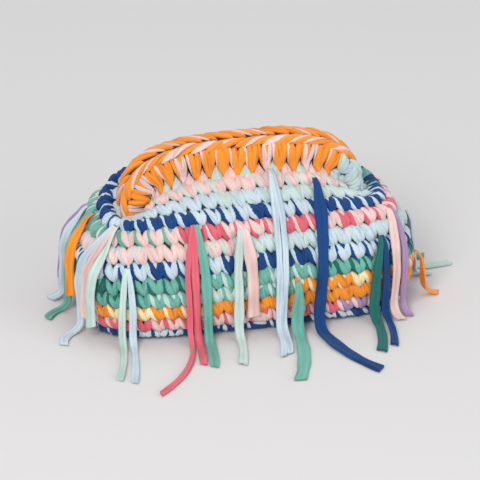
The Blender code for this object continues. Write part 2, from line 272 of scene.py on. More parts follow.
def tube(around: int, along: int, capped: bool) -> tuple[bmesh.types.BMesh, Array]:
    """A tube of unit size that a piece is bent from, in segments and bands, with its points."""
    shape = bmesh.new()
    bmesh.ops.create_cone(shape, segments=around, radius1=1.0, radius2=1.0, depth=1.0, cap_ends=capped)
    lengthwise = [e for e in shape.edges if abs(e.verts[0].co.z - e.verts[1].co.z) > 0.5]
    bmesh.ops.subdivide_edges(shape, edges=lengthwise, cuts=along - 1)
    shape.verts.ensure_lookup_table()
    return shape, np.array([v.co for v in shape.verts])


def unwrap(shape: bmesh.types.BMesh, turn: Array, up: Array, girth: float) -> None:
    """Lays the yarn's pattern on a tube or a spindle, without a tear at its back.

    Args:
        shape: the shape, still of unit size.
        turn: each point's angle round it.
        up: each point's place along the pattern.
        girth: how much of the pattern goes once round.
    """
    layer = shape.loops.layers.uv.new("UVMap")
    for face in shape.faces:
        centre = face.calc_center_median()
        facing = math.atan2(centre.y, centre.x)
        for loop in face.loops:
            vert = loop.vert
            here = facing if math.hypot(vert.co.x, vert.co.y) < 1e-4 else turn[vert.index]
            here += math.tau * round((facing - here) / math.tau)
            loop[layer].uv = (girth * here / math.tau + 0.5, up[vert.index])


def bent(shape: bmesh.types.BMesh, points: Array, merge: float = 0.0) -> None:
    """Puts a shape's points in their places, joins any that come within a distance, and turns its faces out."""
    for vert, point in zip(shape.verts, points):
        vert.co = point
    if merge:
        bmesh.ops.remove_doubles(shape, verts=shape.verts, dist=merge)
    bmesh.ops.recalc_face_normals(shape, faces=shape.faces)
    # A thin curl can come out of that inside out
    if shape.calc_volume(signed=True) < 0:
        bmesh.ops.reverse_faces(shape, faces=shape.faces)


def as_mesh(shape: bmesh.types.BMesh, name: str) -> bpy.types.Mesh:
    """Turns a shape into a mesh."""
    mesh = bpy.data.meshes.new(name)
    shape.to_mesh(mesh)
    shape.free()
    return mesh


def tag(mesh: bpy.types.Mesh, places: Array) -> None:
    """Gives each point its strand's own place in the yarn's pattern."""
    made = mesh.attributes.new("strand", "FLOAT_VECTOR", "POINT")
    made.data.foreach_set("vector", places.reshape(-1).astype(np.float32))


def tint(mesh: bpy.types.Mesh, colours: Array) -> None:
    """Gives each point of a mesh its own painted shade colour."""
    made = mesh.color_attributes.new("painted_shade_tint", "FLOAT_COLOR", "POINT")
    values = np.concatenate([colours, np.ones((len(colours), 1))], axis=1)
    made.data.foreach_set("color", values.reshape(-1).astype(np.float32))


def placed(name: str, data: bpy.types.ID) -> bpy.types.Object:
    """Puts a new object in the scene."""
    made = bpy.data.objects.new(name, data)
    bpy.context.scene.collection.objects.link(made)
    return made


def aimed(piece: bpy.types.Object, spot: Vector, way: Vector) -> None:
    """Moves a lamp or a camera to a spot, and turns it to look along a way."""
    piece.location = spot
    piece.rotation_euler = way.to_track_quat("-Z", "Y").to_euler()


def finished(mesh: bpy.types.Mesh, material: bpy.types.Material) -> bpy.types.Object:
    """Puts a mesh in the scene as a smooth piece of one material."""
    mesh.materials.append(material)
    mesh.shade_smooth()
    mesh.update()
    log.info("%s: %d faces", mesh.name, len(mesh.polygons))
    return placed(mesh.name, mesh)


def seat(piece: bpy.types.Object, yarn: Yarn | None, *nodes: str) -> None:
    """Ties a piece to the bag, in place of some solids."""
    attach(piece, BODY)
    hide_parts(*nodes)


# --- surfaces


class Cloth(ABC):
    """A curved surface that stitches are laid on. Across and up are its own units, and out is in metres."""

    @property
    @abstractmethod
    def probe(self) -> tuple[float, float]:
        """How far to either side the surface's slope is measured, across and up."""

    @abstractmethod
    def point(self, across: Array, up: Array) -> Array:
        """Points of the surface."""

    def _ways(self, across: Array, up: Array) -> tuple[Array, Array]:
        """The steps across and up between the points to either side."""
        turn, climb = self.probe
        return (self.point(across + turn, up) - self.point(across - turn, up),
                self.point(across, up + climb) - self.point(across, up - climb))

    def place(self, across: Array, up: Array, out: Array) -> Array:
        """Points above or behind the surface.

        Args:
            across: place round the surface, in its own units.
            up: place up the surface, in its own units.
            out: metres out of the surface.

        Returns:
            One point in metres for each entry.
        """
        return self.point(across, up) + unit(np.cross(*self._ways(across, up))) * out[..., None]

    def slant(self, across: Array, up: Array) -> Array:
        """How far the way up the surface leans along its rows, as units across for one unit up."""
        round_way, up_way = (way / (2 * step) for way, step in zip(self._ways(across, up), self.probe))
        return (up_way * round_way).sum(-1) / np.maximum((round_way * round_way).sum(-1), 1e-12)


@dataclass(frozen=True)
class Round:
    """The size of one round of the pouch, seen from above."""

    half_length: float
    half_depth: float
    middle_z: float
    end_z: float
    bluntness: float


@dataclass
class PouchCloth(Cloth):
    """The pouch's wall over the crests of its rounds.

    Across is the share of a round from the middle of the left end, past the front. Up is the row: 0 is the
    base's edge, 11 the opening, and rows under 0 go in along the underside.
    """

    rounds: tuple[Round, ...] = (
        Round(0.1350, 0.0680, 0.0045, 0.0045, 4.4),
        Round(0.1390, 0.0712, 0.0145, 0.0143, 4.2),
        Round(0.1412, 0.0730, 0.0265, 0.0257, 4.0),
        Round(0.1425, 0.0740, 0.0390, 0.0372, 3.8),
        Round(0.1425, 0.0730, 0.0515, 0.0482, 3.6),
        Round(0.1410, 0.0695, 0.0650, 0.0590, 3.4),
        Round(0.1370, 0.0635, 0.0785, 0.0720, 3.2),
        Round(0.1300, 0.0565, 0.0905, 0.0835, 3.2),
        Round(0.1190, 0.0480, 0.1020, 0.0925, 3.2),
    )
    flap_rows: int = 3
    arch_half_span: float = 0.0925
    arch_foot_z: float = 0.0878
    arch_top_z: float = 0.138
    arch_power: float = 3.1
    cover_height: float = 0.022
    rim_half_depth: float = 0.0120
    foot_angle: float = math.radians(22)
    end_sag: float = 2.2
    flap_sweep: float = 1.5
    uneven: float = 0.010
    uneven_twist: float = 0.7
    level_row: int = 5  # the last row that the frame's hinges don't pull on
    left_draw: float = 0.045  # share by which the top round's left end is drawn in
    back_lift: float = 0.013  # how far the frame lifts the top round's back left corner
    base_row: float = 0.0135  # width of a round of the underside
    base_z: float = 0.0024  # height of the underside's strands
    base_edge: float = 0.6  # rows in which the wall turns under
    least: float = 0.0005  # half size of the smallest round of the underside
    lowest_row: int = -5
    samples: int = 720
    row: float = 0.0  # the row that shares are measured along
    _shares: dict[float, tuple[Array, Array]] = field(default_factory=dict)

    @property
    def last_round(self) -> int:
        """The last row that goes all the way round."""
        return len(self.rounds) - 1

    @property
    def rim(self) -> int:
        """The row of the opening's edge."""
        return self.last_round + self.flap_rows

    @property
    def probe(self) -> tuple[float, float]:
        """How far the slope is measured."""
        return 0.004, 0.4

    def arch(self, angle: Array, inset: float = 0.0) -> tuple[Array, Array]:
        """The arch's middle line, or a line inside it.

        Args:
            angle: 0 at the right foot to pi at the left one.
            inset: metres inside the middle line.

        Returns:
            The x and z of each point.
        """
        across, up = np.cos(angle), np.sin(angle)
        rise = self.arch_top_z - self.arch_foot_z
        x = self.arch_half_span * power(across, 2 / self.arch_power)
        z = rise * power(up, 2 / self.arch_power)
        normal_x = power(across, 2 - 2 / self.arch_power) / self.arch_half_span
        normal_z = power(up, 2 - 2 / self.arch_power) / rise
        size = np.hypot(normal_x, normal_z)
        return x - inset * normal_x / size, self.arch_foot_z + z - inset * normal_z / size

    def rim_curve(self, angle: Array) -> Array:
        """The opening's edge."""
        from_foot = np.arctan2(np.abs(np.sin(angle)), np.abs(np.cos(angle)))
        share = (from_foot - self.foot_angle) / (math.pi / 2 - self.foot_angle)
        climb = np.clip(share, 0, 1) * math.pi / 2
        x, z = self.arch(climb, self.cover_height / 2 + GAP)
        y = self.rim_half_depth * np.clip(from_foot / self.foot_angle, 0, 1)
        z = z - 1.5 * GAP * (1 - np.sin(climb))
        return np.stack([x * np.sign(np.cos(angle)), y * np.sign(np.sin(angle)), z], axis=-1)

    def round_curve(self, angle: Array, row: Array) -> Array:
        """A full round of stitches, or between two rounds."""

        def sized(name: str) -> Array:
            """One of the rounds' sizes at each row."""
            return np.interp(row, np.arange(len(self.rounds)), [getattr(r, name) for r in self.rounds])

        right, back = np.cos(angle), np.sin(angle)
        swell = 1 + self.uneven * np.sin(3 * angle + self.uneven_twist * np.maximum(row, 0))
        inset = self.base_row * np.maximum(-row, 0)
        length = np.maximum(sized("half_length") - inset, self.least)
        depth = np.maximum(sized("half_depth") - inset, self.least)
        bluntness = sized("bluntness")
        x = length * power(right, 2 / bluntness) * swell
        y = depth * power(back, 2 / bluntness) * swell
        z = sized("end_z") + (sized("middle_z") - sized("end_z")) * np.abs(back) ** self.end_sag
        z = z - (self.rounds[0].end_z - self.base_z) * np.clip(-row / self.base_edge, 0, 1)
        pull = np.clip((row - self.level_row) / (self.last_round - self.level_row), 0, 1)
        x = np.where(x < 0, x * (1 - self.left_draw * pull), x)
        z = z + self.back_lift * pull * np.maximum(back, 0) * np.maximum(-right, 0) * 2
        return np.stack([x, y, z], axis=-1)

    def at_angle(self, angle: Array, row: Array) -> Array:
        """Points of the wall at an angle seen from above."""
        row = np.minimum(row, self.rim)
        low = self.round_curve(angle, np.minimum(row, self.last_round))
        share = np.clip((row - self.last_round) / self.flap_rows, 0, 1)[..., None]
        rim = self.rim_curve(angle)
        point = rim + (low - rim) * (1 - share)
        point[..., 0] = (rim + (low - rim) * (1 - share) ** self.flap_sweep)[..., 0]
        return point

    def _table(self, row: float) -> tuple[Array, Array]:
        """The length of a row up to each sampled angle, and the angles."""
        if row not in self._shares:
            angle = math.pi + np.linspace(0, 2 * math.pi, self.samples + 1)
            points = self.at_angle(angle, np.full(angle.shape, row))
            steps = np.linalg.norm(np.diff(points, axis=0), axis=-1)
            self._shares[row] = np.concatenate([[0], np.cumsum(steps)]), angle
        return self._shares[row]

    def length(self, row: float) -> float:
        """The length of a round in metres."""
        return float(self._table(row)[0][-1])

    def point(self, across: Array, up: Array) -> Array:
        """Points of the wall, with the shares measured along the row that is set."""
        lengths, angles = self._table(float(np.clip(self.row, self.lowest_row, self.rim)))
        return self.at_angle(np.interp(np.mod(across, 1.0) * lengths[-1], lengths, angles), up)

    def on_row(self, row: float) -> "PouchCloth":
        """The same wall with its shares measured along one row."""
        self.row = row
        return self


@dataclass
class CoverCloth(Cloth):
    """One sleeve over half of the arch.

    Across is the share of the arch from foot to foot, left to right as seen from the sleeve's own side. Up is
    in metres and below zero: from the line where the sleeves meet, over the top, down the face and under.
    """

    pouch: PouchCloth
    turned: bool = False
    lipped: bool = True
    height: float = 0.022
    depth: float = 0.0155
    section_power: float = 3.4
    seam_dip: float = 0.07  # share of the half height by which the skin dips where the sleeves meet
    lip_start: float = -0.0350
    lip_row: float = 10.35
    samples: int = 400

    def __post_init__(self) -> None:
        """Measures the arch and the section once."""
        self._angle = np.linspace(math.pi, 0, self.samples + 1)
        self._along = self._measured(*self.pouch.arch(self._angle))
        self._turn = np.linspace(-math.pi / 2, math.pi * 1.5, self.samples + 1)
        self._round = self._measured(*self._section(self._turn))

    @staticmethod
    def _measured(one: Array, other: Array) -> Array:
        """The length of a line up to each of its points."""
        return np.concatenate([[0], np.cumsum(np.hypot(np.diff(one), np.diff(other)))])

    def _section(self, turn: Array) -> tuple[Array, Array]:
        """The section's reach out of the arch and towards the face, flat up to the other sleeve."""
        up = power(np.cos(turn), 2 / self.section_power)
        side = power(np.sin(turn), 2 / self.section_power)
        up = np.where(turn < 0, 1 - self.seam_dip * side ** 2, up)
        return self.height / 2 * up, self.depth / 2 * side

    @property
    def length(self) -> float:
        """The arch's length in metres."""
        return float(self._along[-1])

    @property
    def girth(self) -> float:
        """The length round the section in metres."""
        return float(self._round[-1])

    @property
    def probe(self) -> tuple[float, float]:
        """How far the slope is measured."""
        return 0.008, 0.0008

    def point(self, across: Array, up: Array) -> Array:
        """Points of the sleeve's skin, and of its lip on the flap where it has one."""
        point = self._skin(across, np.maximum(up, self.lip_start) if self.lipped else up)
        if self.lipped:
            angle = self._angle_at(across)
            climb = np.minimum(angle, math.pi - angle)
            foot = self.pouch.foot_angle
            from_foot = foot + climb * (1 - foot / (math.pi / 2))
            seen = np.where(angle > math.pi / 2, math.pi + from_foot, math.tau - from_foot)
            way = self.pouch.at_angle(seen, np.full(seen.shape, self.lip_row)) - point
            point = point + unit(way) * np.maximum(self.lip_start - up, 0)[..., None]
        return point * np.array([-1, -1, 1]) if self.turned else point

    def _angle_at(self, across: Array) -> Array:
        """The arch's angle at a share of its length."""
        return np.interp(np.clip(across, 0, 1) * self.length, self._along, self._angle)

    def _skin(self, across: Array, up: Array) -> Array:
        """Points of the closed skin, as on the front."""
        angle = self._angle_at(across)
        past = (across - np.clip(across, 0, 1)) * self.length
        out, side = self._section(np.interp(-up, self._round, self._turn))
        x, z = self.pouch.arch(angle)
        inner_x, inner_z = self.pouch.arch(angle, 1.0)
        y = -(self.depth / 2 + GAP / 2) - side
        return np.stack([x + (x - inner_x) * out, y, z + (z - inner_z) * out - np.abs(past)], axis=-1)


# --- strands


@dataclass(frozen=True)
class StrandShape:
    """One strand of a stitch, as points from its lower end: across and up in hundredths of a stitch and a
    row, and in tenths of a millimetre how far out its middle lies and its half width and half thickness."""

    told: str

    def table(self) -> Array:
        """The points as columns, in stitches, rows and metres."""
        return np.array(parted(self.told), float).T / [[100], [100], [10000], [10000], [10000]]


LEFT_LEG = StrandShape(
    "22 -66 -6 18 15, 13 -46 12 28 22, -5 -18 17 34 26, -23 12 13 35 27, -39 42 0 33 25, -50 74 -22 26 20")
RIGHT_LEG = StrandShape(
    "23 -60 -8 18 15, 25 -40 9 28 22, 26 -14 12 33 25, 26 14 9 34 26, 25 45 -4 32 24, 22 74 -24 25 20")
SLIVER = StrandShape(
    "-3 -68 -8 14 13, -15 -45 10 22 19, -32 -16 15 27 21, -48 14 13 27 22, -61 42 3 25 21, -68 74 -20 18 16")
NOTCH = StrandShape(
    "9 -8 4 8 8, 4 14 11 17 15, -3 40 6 24 18, -8 70 -16 20 14")
WRAP_LEFT = StrandShape(
    "6 -56 -14 20 15, 2 -42 10 32 23, -8 -16 14 36 26, -15 12 14 37 27, -20 36 12 35 25, -24 56 -6 26 20")
WRAP_RIGHT = StrandShape(
    "10 -55 -16 20 15, 14 -40 8 31 22, 18 -14 12 35 25, 22 14 12 37 26, 26 38 10 34 25, 28 56 -8 26 20")
WRAP_SLIVER = StrandShape(
    "-2 -50 -18 10 10, -18 -30 2 15 14, -30 -8 10 18 16, -40 16 12 19 17, -47 40 10 18 16, -52 60 -6 14 14")
WRAP_MIDDLE = StrandShape(
    "4 -34 -10 12 12, 3 -10 6 18 16, 2 14 8 20 18, 2 36 8 20 18, 2 56 -4 18 16")
BRAID_FAT = StrandShape(
    "-125 -60 -8 24 17, -86 -40 8 35 23, -31 -14 11 39 25, 26 12 9 39 25, 74 34 4 35 23, 103 52 -2 24 19")
BRAID_THIN = StrandShape(
    "-163 -57 -6 10 10, -125 -36 10 15 14, -72 -10 18 17 15, -17 15 16 17 15, 29 38 8 15 14, 55 52 2 11 11")
BRAID_PALE = StrandShape(
    "-163 -57 -4 14 12, -125 -36 14 22 18, -72 -10 22 25 20, -17 15 20 25 20, 29 38 10 22 18, 55 52 4 14 12")
PEAK = StrandShape(
    "46 -84 -22 50 22, 49 -62 2 56 24, 52 -40 6 42 20, 53 -18 -4 20 14")


@dataclass
class StitchRow:
    """Where each stitch of a row lies, and how it differs from its neighbours."""

    across: Array  # the middle of each stitch, in the cloth's units
    up: Array
    height: Array  # metres up one row
    plump: Array
    loft: Array
    width: float  # metres across one stitch
    unit_across: float  # the cloth's units in one stitch
    unit_up: float  # the cloth's units in one row
    base: float  # metres out of the cloth of the strands' middles
    rng: np.random.Generator
    lean: float = 1.0  # 1 or -1, the side that the stitches lean to

    # How much the stitches of a row differ, in shares of one
    UNEVEN_ACROSS, UNEVEN_UP, UNEVEN_PLUMP, UNEVEN_LOFT = 0.025, 0.02, 0.045, 0.25

    @classmethod
    def evenly(cls, across: Array, up: float, height: Array | float, rng: np.random.Generator,
               **sizes: float) -> "StitchRow":
        """Stitches with small differences between them.

        Args:
            across: the middle of each stitch, in the cloth's units.
            up: the row, in the cloth's units.
            height: metres up one row.
            rng: the source of the differences.
            sizes: the fields that all of the row's stitches share.

        Returns:
            The row.
        """
        count = len(across)
        return cls(
            across=across + rng.normal(0, cls.UNEVEN_ACROSS, count) * sizes["unit_across"],
            up=up + rng.normal(0, cls.UNEVEN_UP, count) * sizes["unit_up"],
            plump=1 + rng.normal(0, cls.UNEVEN_PLUMP, count),
            loft=1 + rng.normal(0, cls.UNEVEN_LOFT, count),
            height=height * np.ones(count), rng=rng, **sizes,
        )

    def only(self, kept: Array) -> "StitchRow":
        """Some of the row's stitches."""
        return replace(self, **{k: v[kept] for k, v in vars(self).items() if isinstance(v, Array)})


class StrandMould:
    """A closed spindle of few faces that every strand is bent from."""

    BLUNT = 0.42  # how bluntly a strand's ends close
    PROBE = 0.08  # share of a strand to either side that its way is measured over
    UNEVEN = 0.07  # how much the strands differ in plumpness
    SWAY = 0.0004  # how far a strand's ends stray, in metres

    def __init__(self, around: int, along: int) -> None:
        shape = bmesh.new()
        bmesh.ops.create_uvsphere(shape, u_segments=around, v_segments=along, radius=1.0)
        bmesh.ops.reverse_faces(shape, faces=shape.faces)
        shape.verts.ensure_lookup_table()
        self.share = np.array([math.acos(max(-1.0, min(1.0, -v.co.z))) / math.pi for v in shape.verts])
        self.turn = np.array([math.atan2(v.co.y, v.co.x) for v in shape.verts])
        self.fullness = np.sin(math.pi * self.share) ** self.BLUNT
        unwrap(shape, self.turn, self.share, 1.0)
        self.mesh = as_mesh(shape, "strand_mould")

    def bend(self, cloth: Cloth, shape: StrandShape, stitches: StitchRow) -> Array:
        """Bends the spindle into one strand of each stitch.

        Args:
            cloth: the surface that the stitches lie on.
            shape: which strand of a stitch.
            stitches: where the stitches are.

        Returns:
            Points by stitch and by the spindle's own points, in metres.
        """
        across, up, out, half_width, half_depth = shape.table()
        knots = np.linspace(0, 1, len(across))

        def at(column: Array, share: Array = self.share) -> Array:
            """A column at each point of the spindle."""
            return np.interp(share, knots, column)[None, :]

        wide, tall = stitches.width, stitches.height[:, None]
        near, far = np.clip(self.share - self.PROBE, 0, 1), np.clip(self.share + self.PROBE, 0, 1)
        right = at(across) * wide * stitches.lean
        above = at(up) * tall
        way_right = (at(across, far) - at(across, near)) * wide * stitches.lean
        way_up = (at(up, far) - at(up, near)) * tall
        size = np.maximum(np.hypot(way_right, way_up), 1e-9)
        count = len(stitches.plump)
        plump = (stitches.plump * stitches.rng.normal(1, self.UNEVEN, count))[:, None]
        sway = stitches.rng.normal(0, self.SWAY, (2, count, 1))
        spread = at(half_width) * (self.fullness * np.cos(self.turn))[None, :] * plump
        rise = at(half_depth) * (self.fullness * np.sin(self.turn))[None, :] * plump
        right = right + spread * way_up / size + sway[0] * self.share
        above = (above - spread * way_right / size + sway[1]) / tall * stitches.unit_up
        slant = cloth.slant(stitches.across, stitches.up)[:, None]
        return cloth.place(
            stitches.across[:, None] + right / wide * stitches.unit_across - slant * above,
            stitches.up[:, None] + above,
            at(out) * stitches.loft[:, None] + rise + stitches.base,
        )


class StrandBank:
    """Gathers bent strands by yarn, and turns each yarn's strands into one piece."""

    def __init__(self, name: str, mould: StrandMould) -> None:
        self.name = name
        self.mould = mould
        self._strands: dict[Yarn, list[Array]] = {}

    def add(self, yarn: Yarn, cloth: Cloth, shape: StrandShape, row: StitchRow, kept: Array) -> None:
        """Bends one strand of a row's stitches, for those that are kept."""
        if kept.any():
            self._strands.setdefault(yarn, []).append(self.mould.bend(cloth, shape, row.only(kept)))

    def pieces(self, node: str, materials: JerseyMaterials, rng: np.random.Generator) -> None:
        """Makes one piece of each yarn.

        Args:
            node: the solid that the pieces stand for.
            materials: where the yarns' materials come from.
            rng: gives each strand its own place in the yarn's pattern.
        """
        for yarn, groups in self._strands.items():
            points = np.concatenate(groups)
            points[..., 2] = np.maximum(points[..., 2], FLOOR_CLEARANCE)
            shape = bmesh.new()
            for _ in range(len(points)):
                shape.from_mesh(self.mould.mesh)
            mesh = as_mesh(shape, f"{self.name}_{yarn.value}")
            mesh.vertices.foreach_set("co", points.reshape(-1).astype(np.float32))
            tag(mesh, np.repeat(rng.random((len(points), 3)), points.shape[1], axis=0))
            seat(finished(mesh, materials.yarn(yarn)), yarn, node)


# --- the pouch


# For each row, pairs of the fat and the thin yarn with the share of the round that each pair goes up to
RUNS = {
    -5: "OP 1",
    -4: "PO 1",
    -3: "AM 1",
    -2: "NI 1",
    -1: "LP 1",
    0: "NI .10, IN .16, NI .30, IN .38, NI .70, IN .80, NI 1",
    1: "CP .12, PC .16, CP .19, PC .27, CP .34, LP .52, PL .70, CP .90, PC 1",
    2: "OW .07, WO .12, OW .16, WO .20, OO .62, OW .75, OP .90, OW 1",
    3: "AG .13, AM .18, MA .235, AM .29, OW .48, OP .60, MA .75, AG 1",
    4: "GA .115, AG .20, AM .325, AG .43, GA .58, AG .72, AM .86, GA 1",
    5: "IN .20, NI .3175, IN .46, NI .60, IN .74, NI .88, IN 1",
    6: "PI .12, PP .176, PM .23, MI .32, IM .56, MP .68, PM .84, PA 1",
    7: "AP .04, PA .145, CP .20, PC .27, CP .335, PC .41, CP .47, PL .58, LP .70, AP .82, PA .89, AG .94, AP 1",
    8: "NI .155, IN .235, NI .262, IN .325, NI .49, NA .60, NI .70, IN .85, NI 1",
    9: "II .20, IM .27, MI .50, IM .72, MI .86, II 1",
    10: "PM .20, PP .27, PM .50, PP .72, PM .86, MP 1",
}


@dataclass
class CrochetPouch:
    """The pouch's rounds of stitches, with their backs behind them."""

    cloth: PouchCloth
    mould: StrandMould
    base: float = -0.0024
    front: float = 0.25  # the share of a round at the middle of the front
    heights: tuple[float, float] = (0.006, 0.016)  # lowest and highest that a stitch is drawn
    usual_height: float = 0.0128
    plumpness: tuple[float, float] = (0.9, 1.12)
    plump_power: float = 0.6
    swapped: float = 0.06  # share of the stitches whose two yarns change places
    notched: float = 0.55  # share of the stitches with a third strand
    foot_margin: float = 0.006
    foot_depths: tuple[float, float] = (0.010, 0.012)  # of the covers' feet, at the opening's row and under it
    backs_around: int = 128
    backs_rows: int = 34
    backs_depth: float = 0.0030
    backs_thickness: float = 0.0040
    backs_floor: float = 0.0010
    backs_probe: tuple[float, float] = (0.02, 0.4)
    merge: float = 0.0006
    tint_samples: int = 96
    tint_parts: int = 40  # parts that the backs' points are coloured in, to save memory
    # share of the yarns' fold colours that the backs keep, as painted shade
    shade_darkening: float = 0.10

    def yarns(self, row: int, share: Array) -> tuple[Array, Array]:
        """The fat and the thin yarn of each stitch.

        Args:
            row: the round.
            share: each stitch's place in it.

        Returns:
            The index of the fat and of the thin yarn.
        """
        runs = parted(RUNS[row])
        which = np.searchsorted([float(until) for _, until in runs], np.mod(share, 1.0), side="left")
        pairs = np.array([[LETTERS.index(letter) for letter in pair] for pair, _ in runs])
        fat, thin = pairs[np.minimum(which, len(runs) - 1)].T
        return fat, thin

    def stitches(self, row: int, rng: np.random.Generator) -> StitchRow:
        """The stitches of one row, anchored at the middle of the front so that columns stay in line."""
        cloth = self.cloth.on_row(row)
        length = cloth.length(row)
        count = max(4, round(length / STITCH))
        across = np.mod(self.front + np.arange(count) / count, 1.0)
        half = np.full(count, 0.5)
        height = np.linalg.norm(cloth.point(across, row + half) - cloth.point(across, row - half), axis=-1)
        made = StitchRow.evenly(across, row, np.clip(height, *self.heights), rng, width=length / count,
                                unit_across=1 / count, unit_up=1.0, base=self.base)
        made.plump *= np.clip(height / self.usual_height, *self.plumpness) ** self.plump_power
        return made.only(self._shown(row, across))

    def _shown(self, row: int, across: Array) -> Array:
        """Which stitches of a row aren't under the covers' feet."""
        if row <= self.cloth.last_round:
            return np.ones(len(across), bool)
        x, y, _ = np.abs(self.cloth.point(across, np.full(len(across), float(row)))).T
        foot = self.cloth.arch_half_span
        if row == self.cloth.rim - 1:
            return (x < foot - self.foot_margin) & (y > self.foot_depths[0])
        return (x >= foot + self.foot_margin) | (y >= self.foot_depths[1])

    def build(self, materials: JerseyMaterials, rng: np.random.Generator) -> None:
        """Makes the stitches and their backs."""
        bank = StrandBank("stitches", self.mould)
        for row in RUNS:
            stitches = self.stitches(row, rng)
            fat, thin = self.yarns(row, stitches.across)
            swapped = rng.random(len(fat)) < self.swapped
            fat, thin = np.where(swapped, thin, fat), np.where(swapped, fat, thin)
            on_wall = row >= 0
            notched = (rng.random(len(fat)) < self.notched) & on_wall
            cloth = self.cloth.on_row(row)
            for number, yarn in enumerate(Yarn):
                bank.add(yarn, cloth, LEFT_LEG, stitches, fat == number)
                bank.add(yarn, cloth, RIGHT_LEG, stitches, fat == number)
                bank.add(yarn, cloth, SLIVER, stitches, (thin == number) & on_wall)
                bank.add(yarn, cloth, NOTCH, stitches, (thin == number) & notched)
        bank.pieces("pouch", materials, rng)
        self._backs(materials)

    def _backs(self, materials: JerseyMaterials) -> None:
        """The thick cloth that shows between the stitches and inside the bag, its dark colour painted shade."""
        shape, spot = tube(self.backs_around, self.backs_rows, capped=False)
        cloth, low = self.cloth, self.cloth.lowest_row
        row = low + (spot[:, 2] + 0.5) * (cloth.rim - low)
        angle = np.arctan2(spot[:, 1], spot[:, 0])
        turn, climb = self.backs_probe
        round_way = cloth.at_angle(angle + turn, row) - cloth.at_angle(angle - turn, row)
        up_way = cloth.at_angle(angle, row + climb) - cloth.at_angle(angle, row - climb)
        points = cloth.at_angle(angle, row) - unit(np.cross(round_way, up_way)) * self.backs_depth
        points[:, 2] = np.maximum(points[:, 2], self.backs_floor)
        bent(shape, points, self.merge)
        low_faces = (f for f in shape.faces if f.calc_center_median().z < 2 * self.backs_floor)
        if sum(f.normal.z * f.calc_area() for f in low_faces) > 0:
            bmesh.ops.reverse_faces(shape, faces=shape.faces)
        bmesh.ops.solidify(shape, geom=shape.faces, thickness=self.backs_thickness)
        mesh = as_mesh(shape, "pouch_backs")
        tint(mesh, self._shade_tones(np.array([v.co for v in mesh.vertices])))
        seat(finished(mesh, materials.backs()), None, "pouch")

    def _shade_tones(self, spots: Array) -> Array:
        """A painted shade colour, for each point of the backs, from the darkened fold colours of the yarns in front
        of it.
        """
        share = np.arange(self.tint_samples) / self.tint_samples
        angle = math.pi + np.linspace(0, math.tau, self.tint_samples, endpoint=False)
        folds = np.array([FINISHES[yarn].fold for yarn in Yarn])
        grid, tones = [], []
        for row in range(self.cloth.lowest_row + 1, self.cloth.rim):
            grid.append(self.cloth.at_angle(angle, np.full(len(angle), float(row))))
            fat, thin = self.yarns(row, share)
            # Painted shade: the yarns' fold colours, darkened further
            tones.append((folds[fat] + folds[thin]) / 2 * self.shade_darkening)
        grid = np.concatenate(grid)
        nearest = [np.argmin(((part[:, None, :] - grid) ** 2).sum(-1), axis=1)
                   for part in np.array_split(spots, self.tint_parts)]
        return np.concatenate(tones)[np.concatenate(nearest)]


# --- the covered frame


